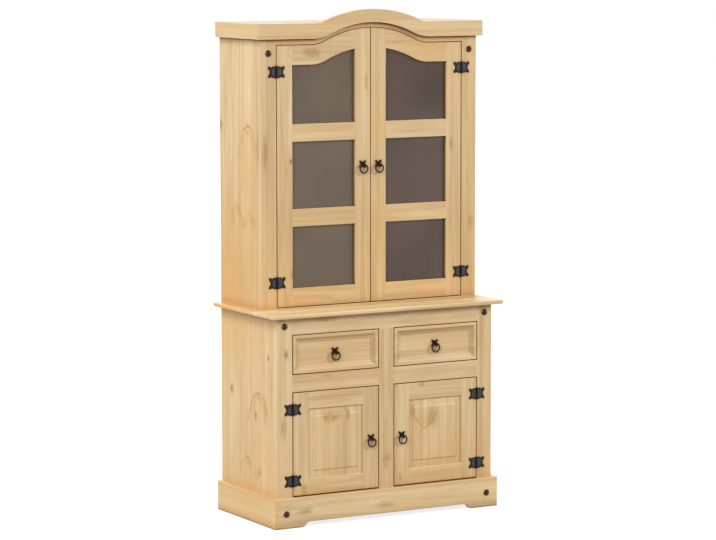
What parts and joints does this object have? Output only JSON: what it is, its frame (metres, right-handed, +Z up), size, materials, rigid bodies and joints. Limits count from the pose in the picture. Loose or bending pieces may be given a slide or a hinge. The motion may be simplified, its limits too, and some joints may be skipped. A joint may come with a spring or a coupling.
{
  "type": "display cabinet",
  "caption": "Pine display cabinet: glazed doors under an arched cornice over a base with drawers and panelled doors.",
  "frame": {"origin": "middle of the footprint on the ground", "axes": "+Z up, +Y towards the back, +X to the right of someone facing the cabinet's front"},
  "size_m": [1, 0.488, 1.9195],
  "materials": {
    "pine": "waxed pine, satin",
    "glass": "smoked window glass",
    "iron": "blackened wrought iron"
  },
  "bodies": {
    "root": {"lower_side_left": "pine", "lower_side_right": "pine", "lower_post_left": "pine", "lower_post_right": "pine", "lower_top_rail": "pine", "lower_mid_post": "pine", "drawer_rails": "pine", "lower_floor": "pine", "lower_back": "pine", "centre_partition": "pine", "lower_shelves": "pine", "drawer_runners": "pine", "worktop": "pine", "plinth_front": "pine", "plinth_left": "pine", "plinth_right": "pine", "upper_side_left": "pine", "upper_side_right": "pine", "upper_post_left": "pine", "upper_post_right": "pine", "upper_floor": "pine", "upper_back": "pine", "upper_top": "pine", "upper_shelves": "pine", "upper_arch_rail": "pine", "cornice_front": "pine", "cornice_left": "pine", "cornice_right": "pine", "shelf_pins": "pine", "hinge_post_leaves": "iron", "hinge_pins": "iron", "dome_nails": "iron"},
    "upper_door_left": {"upper_door_left_frame": "pine", "upper_door_left_glass": "glass", "upper_door_left_hinges": "iron", "upper_door_left_pull": "iron"},
    "lower_door_left": {"lower_door_left_frame": "pine", "lower_door_left_panel": "pine", "lower_door_left_hinges": "iron", "lower_door_left_pull": "iron"},
    "drawer_left": {"drawer_left_front": "pine", "drawer_left_box": "pine", "drawer_left_pull": "iron"},
    "upper_door_right": {"upper_door_right_frame": "pine", "upper_door_right_glass": "glass", "upper_door_right_hinges": "iron", "upper_door_right_pull": "iron"},
    "lower_door_right": {"lower_door_right_frame": "pine", "lower_door_right_panel": "pine", "lower_door_right_hinges": "iron", "lower_door_right_pull": "iron"},
    "drawer_right": {"drawer_right_front": "pine", "drawer_right_box": "pine", "drawer_right_pull": "iron"},
    "upper_ring_left": {"upper_ring_left": "iron"},
    "upper_ring_right": {"upper_ring_right": "iron"},
    "lower_ring_left": {"lower_ring_left": "iron"},
    "lower_ring_right": {"lower_ring_right": "iron"},
    "drawer_ring_left": {"drawer_ring_left": "iron"},
    "drawer_ring_right": {"drawer_ring_right": "iron"}
  },
  "joints": [
    {"name": "upper_door_left_swing", "type": "hinge", "parent": "root", "child": "upper_door_left", "pos_m": [-0.401, -0.095, 1.3], "axis": [0, 0, -1], "range_deg": [0, 110]},
    {"name": "lower_door_left_swing", "type": "hinge", "parent": "root", "child": "lower_door_left", "pos_m": [-0.401, -0.215, 0.311], "axis": [0, 0, -1], "range_deg": [0, 110]},
    {"name": "drawer_left_slide", "type": "slide", "parent": "root", "child": "drawer_left", "axis": [0, -1, 0], "range_m": [0, 0.28]},
    {"name": "upper_door_right_swing", "type": "hinge", "parent": "root", "child": "upper_door_right", "pos_m": [0.401, -0.095, 1.3], "axis": [0, 0, 1], "range_deg": [0, 110]},
    {"name": "lower_door_right_swing", "type": "hinge", "parent": "root", "child": "lower_door_right", "pos_m": [0.401, -0.215, 0.311], "axis": [0, 0, 1], "range_deg": [0, 110]},
    {"name": "drawer_right_slide", "type": "slide", "parent": "root", "child": "drawer_right", "axis": [0, -1, 0], "range_m": [0, 0.28]},
    {"name": "upper_ring_left_lift", "type": "hinge", "parent": "upper_door_left", "child": "upper_ring_left", "pos_m": [-0.034, -0.101, 1.3355], "axis": [-1, 0, 0], "range_deg": [0, 90]},
    {"name": "upper_ring_right_lift", "type": "hinge", "parent": "upper_door_right", "child": "upper_ring_right", "pos_m": [0.034, -0.101, 1.3355], "axis": [-1, 0, 0], "range_deg": [0, 90]},
    {"name": "lower_ring_left_lift", "type": "hinge", "parent": "lower_door_left", "child": "lower_ring_left", "pos_m": [-0.0675, -0.221, 0.31], "axis": [-1, 0, 0], "range_deg": [0, 90]},
    {"name": "lower_ring_right_lift", "type": "hinge", "parent": "lower_door_right", "child": "lower_ring_right", "pos_m": [0.0675, -0.221, 0.31], "axis": [-1, 0, 0], "range_deg": [0, 90]},
    {"name": "drawer_ring_left_lift", "type": "hinge", "parent": "drawer_left", "child": "drawer_ring_left", "pos_m": [-0.21725, -0.212, 0.65], "axis": [-1, 0, 0], "range_deg": [0, 90]},
    {"name": "drawer_ring_right_lift", "type": "hinge", "parent": "drawer_right", "child": "drawer_ring_right", "pos_m": [0.21725, -0.212, 0.65], "axis": [-1, 0, 0], "range_deg": [0, 90]}
  ]
}
